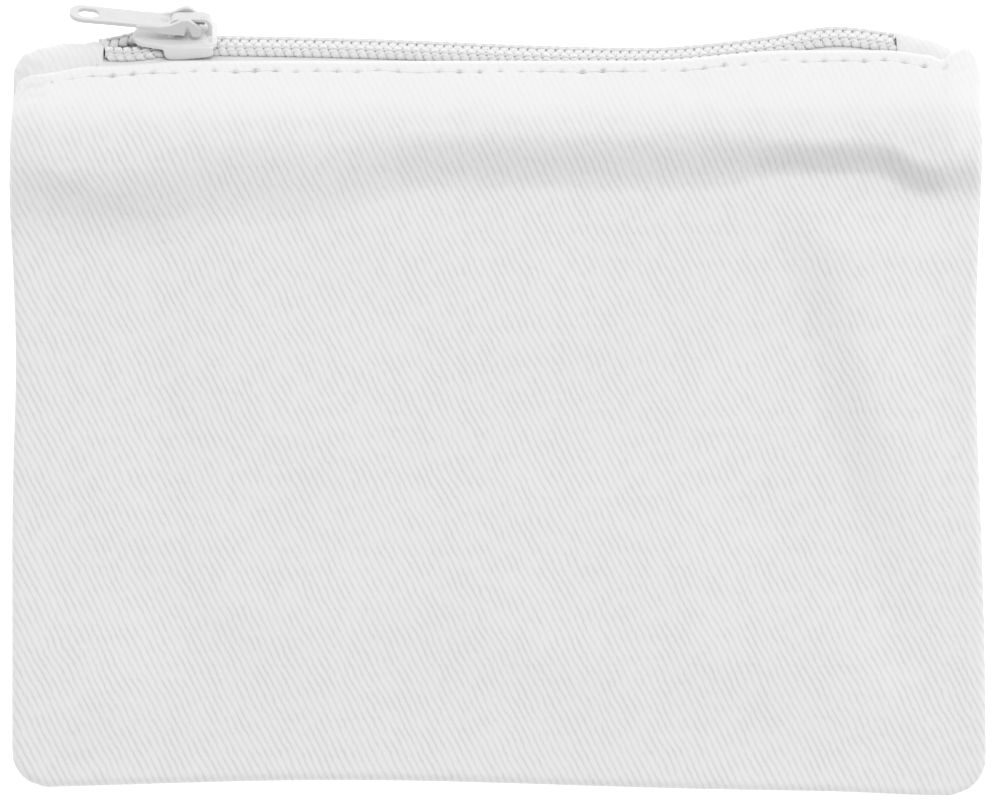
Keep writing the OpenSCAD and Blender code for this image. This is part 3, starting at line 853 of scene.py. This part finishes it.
def crown_arch():
    """The arch over the hinge bar, with round shoulders."""
    high, t, shoulder = 5.4, 0.5, 1.25
    a, b = -0.65, 5.15
    outside = [(a, 2.35)] + arc(a + shoulder, high - shoulder, shoulder, 180, 90, 9) \
        + arc(b - shoulder, high - shoulder, shoulder, 90, 0, 9) + [(b, 2.35)]
    inside = [(b - t, 2.35)] + arc(b - shoulder, high - shoulder, shoulder - t, 0, 90, 7) \
        + arc(a + shoulder, high - shoulder, shoulder - t, 90, 180, 7) + [(a + t, 2.35)]
    loop = outside + inside
    n = len(outside)
    m = len(inside)
    inner_of = [int(round(i * (m - 1) / (n - 1))) for i in range(n)]
    verts = [(u, s * 1.0, w) for s in (-1, 1) for u, w in loop]
    faces = []
    total = n + m
    idx_in = lambda k: n + (m - 1 - k)
    for s in (0, 1):
        base = s * total
        for i in range(n - 1):
            p, q = inner_of[i], inner_of[i + 1]
            quad = [base + i, base + i + 1, base + idx_in(q)] + ([base + idx_in(p)] if p != q else [])
            faces.append(tuple(quad if s else quad[::-1]))
    faces += [(i, (i + 1) % total, total + (i + 1) % total, total + i) for i in range(total)]
    verts, faces = cast("crown_skin", [(np.array(verts, float), faces)], 0.06, 4)
    return in_slider(verts), faces


PIVOT = (3.0, 3.9)
PULL_REST = math.radians(7.6)


def pull():
    tip, half, thick = -17.4, 1.85, 0.29
    upper_side = [(-9, 1.76), (-5.6, 1.68), (-4.15, 1.94), (-3.3, 1.96)]
    lower_side = [(a, -b) for a, b in reversed(upper_side)]
    strap = arc(tip + half, 0, half, 270, 90, 22) + upper_side + lower_side
    eye_r, eye_from = 1.07, tip + 1.15
    hole = arc(eye_from + eye_r, 0, eye_r, 90, 270, 14) + arc(eye_from + eye_r + 0.78, 0, eye_r, -90, 90, 14)
    solids = [ring_prism(strap[::-1], hole[::-1], -thick, thick)]
    for side in (-1, 1):
        rib = [(-4.6, -0.80), (-6.6, -0.45), (-8.2, -thick), (-8.2, 0.1), (-4.9, thick)]
        crest = [(-3.5, 0.66), (-2.5, 1.32), (-1.85, 1.70), (-1.25, 1.76), (-0.6, 1.45), (0.0, 1.02)]
        slit = [(-0.80, -0.1), (-1.12, 0.80), (-1.38, 0.80), (-1.50, -0.75)]
        ear = rib + crest + arc(0, 0, 0.8, 45, -130, 10) + slit
        solids.append(prism(ear, side * 1.27, side * 1.96, "t"))
    bar = [(0.42 * math.cos(a), 0.42 * math.sin(a)) for a in np.linspace(0, 2 * math.pi, 15)[:-1]]
    solids.append(prism(bar, -1.4, 1.4, "t"))
    verts, faces = cast("pull_skin", solids, 0.07, 4)
    # a small pit in the strap's root
    near = np.exp(-((verts[:, 0] + 4.35) / 0.42) ** 2 - (verts[:, 1] / 0.27) ** 2)
    verts[:, 2] -= 0.3 * near * (verts[:, 2] > 0.1)
    c, s = math.cos(PULL_REST), math.sin(PULL_REST)
    u = verts[:, 0] * c + verts[:, 2] * s + PIVOT[0]
    w = -verts[:, 0] * s + verts[:, 2] * c + PIVOT[1]
    return in_slider(np.stack([u, verts[:, 1], w], -1)), faces


def leaf_spring():
    """A thin bent leaf with a rolled end and a prong that goes down through the plate."""
    hinge = (3.95, 4.49)
    roll_r = 0.17
    roll = [(hinge[0] + roll_r * math.cos(a), hinge[1] + roll_r * math.sin(a))
            for a in np.linspace(-math.pi / 2, 3.6, 12)][::-1]
    leaf = [(3.6, 4.44), (2.8, 4.5), (2.0, 4.53), (1.45, 4.5), (1.22, 4.36)]
    prong = [(1.18, 4.0), (1.18, 3.0), (1.18, 1.75)]
    line = np.array(roll + leaf + prong)
    normal = normals(line)
    wide = np.where(np.arange(len(line)) < len(line) - len(prong), 0.58, 0.27)
    rings = []
    for p, k, h in zip(line, normal, wide):
        section = [(-h, -0.075), (-h - 0.02, 0), (-h, 0.075), (h, 0.075), (h + 0.02, 0), (h, -0.075)]
        rings.append([(p[0] + k[0] * b, a, p[1] + k[1] * b) for a, b in section])
    rings = np.array(rings)
    n, m = rings.shape[:2]
    faces = grid_faces(n, m, wrap=True)
    faces += [tuple(range(m - 1, -1, -1)), tuple((n - 1) * m + j for j in range(m))]
    return in_slider(rings.reshape(-1, 3)), faces


# ---- materials ----

class Nodes:
    """Short names for the nodes of one material."""

    def __init__(self, name, **surface):
        self.material = bpy.data.materials.new(name)
        self.material.use_nodes = True
        self.tree = self.material.node_tree
        self.shader = self.tree.nodes["Principled BSDF"]
        for key, value in surface.items():
            self.shader.inputs[key.replace("_", " ")].default_value = value
        self.texco = self.tree.nodes.new("ShaderNodeTexCoord").outputs["Object"]

    def put(self, socket, value):
        if isinstance(value, bpy.types.NodeSocket):
            self.tree.links.new(value, socket)
        else:
            socket.default_value = value

    def math(self, kind, a, b=0.0, clamp=False):
        node = self.tree.nodes.new("ShaderNodeMath")
        node.operation = kind
        node.use_clamp = clamp
        self.put(node.inputs[0], a)
        self.put(node.inputs[1], b)
        return node.outputs[0]

    def add(self, a, b):
        return self.math("ADD", a, b)

    def sub(self, a, b):
        return self.math("SUBTRACT", a, b)

    def mul(self, a, b):
        return self.math("MULTIPLY", a, b)

    def div(self, a, b):
        return self.math("DIVIDE", a, b)

    def along(self, direction):
        """Distance in millimetres along a direction."""
        node = self.tree.nodes.new("ShaderNodeVectorMath")
        node.operation = "DOT_PRODUCT"
        self.put(node.inputs[0], self.texco)
        node.inputs[1].default_value = tuple(c / MM for c in direction)
        return node.outputs["Value"]

    def noise(self, scale, detail=2.0, vector=None, rough=0.5):
        """Noise of about 0 to 1; scale is in waves to the millimetre."""
        node = self.tree.nodes.new("ShaderNodeTexNoise")
        self.put(node.inputs["Vector"], vector if vector is not None else self.texco)
        node.inputs["Scale"].default_value = scale if vector is not None else scale / MM
        node.inputs["Detail"].default_value = detail
        node.inputs["Roughness"].default_value = rough
        return node.outputs["Fac"]

    def vector(self, x, y, z=0.0):
        node = self.tree.nodes.new("ShaderNodeCombineXYZ")
        for socket, value in zip(node.inputs, (x, y, z)):
            self.put(socket, value)
        return node.outputs[0]

    def random(self, a, b=0.0):
        node = self.tree.nodes.new("ShaderNodeTexWhiteNoise")
        node.noise_dimensions = "2D"
        self.put(node.inputs["Vector"], self.vector(a, b))
        return node.outputs["Value"]

    def ramp(self, value, low, high, out_low, out_high):
        node = self.tree.nodes.new("ShaderNodeMapRange")
        node.interpolation_type = "SMOOTHSTEP"
        self.put(node.inputs["Value"], value)
        for key, number in zip(("From Min", "From Max", "To Min", "To Max"), (low, high, out_low, out_high)):
            node.inputs[key].default_value = number
        return node.outputs["Result"]

    def mix_colour(self, factor, a, b):
        node = self.tree.nodes.new("ShaderNodeMix")
        node.data_type = "RGBA"
        self.put(node.inputs["Factor"], factor)
        colours = [s for s in node.inputs if s.type == "RGBA"]
        for socket, value in zip(colours, (a, b)):
            self.put(socket, (*value, 1) if isinstance(value, tuple) else value)
        return next(s for s in node.outputs if s.type == "RGBA")

    def bumped(self, height, distance, strength=1.0, after=None):
        node = self.tree.nodes.new("ShaderNodeBump")
        node.inputs["Distance"].default_value = distance * MM
        self.put(node.inputs["Strength"], strength)
        self.put(node.inputs["Height"], height)
        if after is not None:
            self.put(node.inputs["Normal"], after)
        return node.outputs["Normal"]

    def finish(self, colour=None, normal=None, roughness=None):
        if colour is not None:
            self.put(self.shader.inputs["Base Color"], colour)
        if normal is not None:
            self.put(self.shader.inputs["Normal"], normal)
        if roughness is not None:
            self.put(self.shader.inputs["Roughness"], roughness)
        return self.material


def grey(v):
    return (v, v, v)


WARP = 0.25
PICK = 0.49


def canvas(name, across, along, bright=1.0, fade=True, depth=0.085, relief=1.0):
    """White twill: three picks over, one under, each warp yarn one pick on from its neighbour."""
    n = Nodes(name, Roughness=0.92, Sheen_Weight=0.12, Sheen_Roughness=0.5)
    s, t = n.along(across), n.along(along)
    sway = n.noise(0.16, 2.0)
    fine = n.noise(0.9, 1.0)
    s = n.add(s, n.add(n.mul(n.sub(sway, 0.5), 0.9), n.mul(n.sub(fine, 0.5), 0.10)))
    t = n.add(t, n.mul(n.sub(n.noise(0.12, 2.0), 0.5), 1.2))
    warp = n.div(s, WARP)
    pick = n.div(t, PICK)
    warp_no, pick_no = n.math("FLOOR", warp), n.math("FLOOR", pick)
    u = n.sub(n.math("FRACT", warp), 0.5)
    v = n.sub(n.math("FRACT", pick), 0.5)
    wander = n.mul(n.sub(n.noise(1.3, 2.0), 0.5), 0.55)
    phase = n.math("FRACT", n.add(n.div(n.add(pick, warp), 4.0), n.mul(wander, 0.5)))
    rib = n.mul(n.ramp(phase, 0.0, 0.34, 0.0, 1.0), n.ramp(phase, 0.62, 0.97, 1.0, 0.0))
    round_u = n.math("SQRT", n.math("MAXIMUM", n.sub(1.0, n.mul(n.mul(u, u), 3.6)), 0.02))
    round_v = n.math("SQRT", n.math("MAXIMUM", n.sub(1.0, n.mul(n.mul(v, v), 3.4)), 0.02))
    yarn = n.add(n.mul(round_u, n.add(0.14, n.mul(n.random(warp_no, 3.0), 0.16))),
                 n.mul(round_v, n.add(0.04, n.mul(n.random(pick_no, 7.0), 0.10))))
    height = n.add(n.mul(rib, n.add(0.58, n.mul(n.noise(0.7, 2.0), 0.40))), yarn)
    fibre = n.noise(9.0, 2.0)
    height = n.add(height, n.mul(n.sub(fibre, 0.5), 0.55))
    worn = n.ramp(n.noise(0.42, 2.0), 0.32, 0.66, 0.62 * relief, 1.05 * relief)
    if fade:
        worn = n.mul(worn, n.ramp(n.along((0, 1, 0)), 36.5, 42.5, 1.0, 0.45))
    streak = n.noise(1.0, 2.0, n.vector(n.mul(s, 2.2), n.mul(t, 0.35)))
    tone = n.add(0.5, n.add(n.mul(n.sub(streak, 0.5), 0.5), n.mul(n.sub(n.noise(0.05, 3.0), 0.5), 0.5)))
    # painted shade: the twill's grooves are coloured darker and its rib tops lighter, following the relief
    # height
    dark = n.mix_colour(tone, grey(0.675 * bright), grey(0.72 * bright))
    light = n.mix_colour(tone, grey(0.775 * bright), grey(0.82 * bright))
    colour = n.mix_colour(n.ramp(height, 0.15, 0.95, 0.0, 1.0), dark, light)
    colour = n.mix_colour(worn, n.mix_colour(tone, grey(0.755 * bright), grey(0.795 * bright)), colour)
    if fade:
        # the turned hem is coloured lighter: partly its double layer of cloth, partly painted light where the
        # roll over the hem faces the lamp
        hem = n.ramp(n.along((0, 1, 0)), 32.0, 42.0, 0.0, 0.75)
        colour = n.mix_colour(hem, colour, grey(0.86 * bright))
    normal = n.bumped(height, depth, worn)
    soft = n.bumped(n.noise(0.45, 3.0), 0.16, 0.6, normal)
    return n.finish(colour, soft)


def tape_cloth(name):
    """Woven polyester tape: fine ribs across a plain weave."""
    n = Nodes(name, Roughness=0.8, Sheen_Weight=0.1)
    x, t = n.along((1, 0, 0)), n.along(T_AXIS)
    rib = n.math("SINE", n.mul(n.add(t, n.mul(n.noise(0.8, 1.0), 0.08)), 2 * math.pi / 0.34))
    zig = n.math("PINGPONG", n.div(t, 0.9), 0.5)
    pick = n.math("SINE", n.mul(n.add(x, n.mul(zig, 0.5)), 2 * math.pi / 0.42))
    height = n.add(n.mul(rib, 0.4), n.mul(n.mul(pick, rib), 0.5))
    height = n.add(height, n.mul(n.noise(7.0, 2.0), 0.5))
    # painted shade: the weave's hollows are coloured darker and its ribs lighter, following the height
    colour = n.mix_colour(n.ramp(height, -0.8, 0.9, 0.0, 1.0), grey(0.70), grey(0.79))
    return n.finish(colour, n.bumped(height, 0.04, 0.7))


def nylon(name):
    n = Nodes(name, Roughness=0.45, Subsurface_Weight=0.5, Subsurface_Scale=0.9 * MM,
              Subsurface_Radius=(1, 1, 1), IOR=1.45)
    cloudy = n.noise(0.8, 3.0)
    colour = n.mix_colour(cloudy, grey(0.76), grey(0.83))
    return n.finish(colour, n.bumped(n.noise(5.0, 2.0), 0.02, 0.5), n.ramp(cloudy, 0.3, 0.7, 0.42, 0.55))


def thread(name, bright):
    """Twisted polyester thread: fine slanted fibres with a slight gloss."""
    n = Nodes(name, Roughness=0.6, Sheen_Weight=0.3)
    slant = n.along((0.8, 0.5, 0.33))
    fibres = n.math("SINE", n.mul(n.add(slant, n.mul(n.noise(1.5, 1.0), 0.2)), 2 * math.pi / 0.07))
    fuzz = n.noise(6.0, 3.0)
    height = n.add(n.mul(fibres, 0.3), fuzz)
    # painted shade: darker in the hollows between the fibres and lighter on their ridges, together with a
    # random fuzz tone
    colour = n.mix_colour(n.ramp(height, 0.1, 0.9, 0.0, 1.0), grey(0.70 * bright), grey(0.81 * bright))
    return n.finish(colour, n.bumped(height, 0.03, 0.7))


def enamel(name, bright):
    """Thick white enamel over a casting: slight orange peel, thin and greyer where it is rubbed."""
    n = Nodes(name, Roughness=0.3, Coat_Weight=0.5, Coat_Roughness=0.12, IOR=1.5)
    peel = n.noise(1.6, 2.0)
    pits = n.ramp(n.noise(3.2, 1.0), 0.22, 0.30, 0.0, 1.0)
    cloud = n.noise(0.35, 3.0)
    geometry = n.tree.nodes.new("ShaderNodeNewGeometry")
    patchy = n.add(0.85, n.mul(n.noise(1.2, 3.0), 0.3))
    rubbed = n.ramp(n.mul(geometry.outputs["Pointiness"], patchy), 0.545, 0.60, 0.0, 1.0)
    colour = n.mix_colour(cloud, grey(0.69 * bright), grey(0.75 * bright))
    colour = n.mix_colour(n.mul(rubbed, 0.35), colour, grey(0.60))
    colour = n.mix_colour(pits, grey(0.62), colour)
    height = n.add(peel, n.mul(pits, 0.5))
    return n.finish(colour, n.bumped(height, 0.035, 0.6), n.ramp(cloud, 0.3, 0.7, 0.26, 0.36))


def spring_steel(name):
    n = Nodes(name, Roughness=0.32, Metallic=1.0)
    brushed = n.noise(1.0, 3.0, n.vector(n.mul(n.along((1, 0, 0)), 0.6), n.mul(n.along((0, 1, 0)), 14.0)))
    colour = n.mix_colour(brushed, grey(0.45), grey(0.62))
    return n.finish(colour, n.bumped(brushed, 0.01, 0.5), n.ramp(brushed, 0.3, 0.7, 0.25, 0.42))


FLAT = ((1, 0, 0), (0, 1, 0))
canvas_front = canvas("canvas_twill", *FLAT)
canvas_back = canvas("canvas_twill_back", *FLAT, fade=False)
canvas_tab = canvas("canvas_tab", (1, 0, 0), T_AXIS, bright=0.985, fade=False, depth=0.05, relief=0.4)
tape_material = tape_cloth("zip_tape_weave")
nylon_material = nylon("coil_nylon")
filler_material = thread("filler_cord_yarn", 0.98)
thread_material = thread("sewing_thread", 1.0)
# one white enamel in two copies: the slider body's is painted lighter as painted light, the crown's and the
# pull's darker as painted shade
lit_enamel_material = enamel("lit_slider_enamel", 1.08)
shaded_enamel_material = enamel("shaded_enamel", 0.88)
steel_material = spring_steel("spring_steel_leaf")

# ---- the pieces ----

place(front_panel, canvas_front, "pouch", "canvas", "front_panel")
place(back_panel, canvas_back, "pouch", "canvas", "back_panel")
place(mesh_object("seam_allowance_layers", *allowance()), canvas_back, "pouch", "canvas", "seam_allowance")
place(mesh_object("left_tab_canvas", *end_tab(-1)), canvas_tab, "pouch", "canvas", "left_end_tab")
place(mesh_object("right_tab_canvas", *end_tab(1)), canvas_tab, "pouch", "canvas", "right_end_tab")

TAPE_T = 0.4
TAPE_END = CHAIN_END + 0.9
tape_x = np.linspace(-TAPE_END, TAPE_END, 184)
for half, line in (("front", front_tape_line), ("back", back_tape_line)):
    place(mesh_object(f"{half}_tape_weave", *ribbon(line, tape_x, TAPE_T)),
          tape_material, "pouch", "zip_tape", f"{half}_tape")

# Each row of the chain is two pieces, which meet where the slider ends its travel. The piece behind the
# slider gets a mesh of its own; a point well out on the row's own side is worked out but not used.
PARTED_AT = SLIDE_END - 2.5
ROW_ANCHOR = 6.0
for side, half in ((-1, "front"), (1, "back")):
    anchor = tuple(float(c) * MM for c in zip_at(0, side * ROW_ANCHOR, 0, bowed=False))
    for span, x_from, x_to in (("open", -CHAIN_END + 0.3, PARTED_AT), ("closed", PARTED_AT, CHAIN_END - 0.1)):
        for kind, build, material, slot in (("coil", coil, nylon_material, "nylon_coil"),
                                            ("coil_cord", cord, filler_material, "filler_cord"),
                                            ("coil_stitching", coil_threads, thread_material, "thread")):
            piece = place(mesh_object(f"{half}_{kind}_{span}", *build(side, x_from, x_to)),
                          material, "pouch", slot, f"{half}_{kind}")
            if span == "open":
                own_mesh(piece)

TOPSTITCH_R = 0.11
SEAM_THREAD_R = 0.13
place(mesh_object("front_topstitch_thread", *lockstitch(topstitch_points(), (0, 0, 1), TOPSTITCH_R, 0.3)),
      thread_material, "pouch", "thread", "front_topstitch")
place(mesh_object("back_topstitch_thread", *lockstitch(back_stitch_points(), (0, 0, -1), SEAM_THREAD_R, 0.1)),
      thread_material, "pouch", "thread", "back_topstitch")
for seam, path in (("left", side_seam_path(-1)), ("right", side_seam_path(1)),
                   ("bottom", bottom_seam_path())):
    place(mesh_object(f"{seam}_seam_lockstitch", *tube(path, SEAM_THREAD_R, 8, plies=2, twist=9)),
          thread_material, "pouch", "thread", f"{seam}_seam_thread")

for name, build, material, body, slot, node in (
        ("slider_body_cast", slider_body, lit_enamel_material, "slider", "white_enamel", "slider_body"),
        ("slider_crown_arch", crown_arch, shaded_enamel_material, "slider", "white_enamel", "slider_crown"),
        ("lock_spring_leaf", leaf_spring, steel_material, "slider", "spring_steel", "lock_spring"),
        ("pull_tab_cast", pull, shaded_enamel_material, "pull", "white_enamel", "pull_tab")):
    place(mesh_object(name, *build()), material, body, slot, node)

# ---- floor ----

floor_material = Nodes("floor_paper", Roughness=0.9, Emission_Strength=0.4)
floor_material.shader.inputs["Emission Color"].default_value = (1, 1, 1, 1)
paper = floor_material.mix_colour(floor_material.noise(0.01, 2.0), grey(0.93), grey(0.95))
floor_material.finish(paper)
FLOOR_HALF = 3000
FLOOR_Z = -0.15
corners = [(a * FLOOR_HALF, b * FLOOR_HALF, FLOOR_Z) for a, b in ((-1, -1), (1, -1), (1, 1), (-1, 1))]
floor = mesh_object("floor", corners, [(0, 1, 2, 3)])
floor.data.materials.append(floor_material.material)
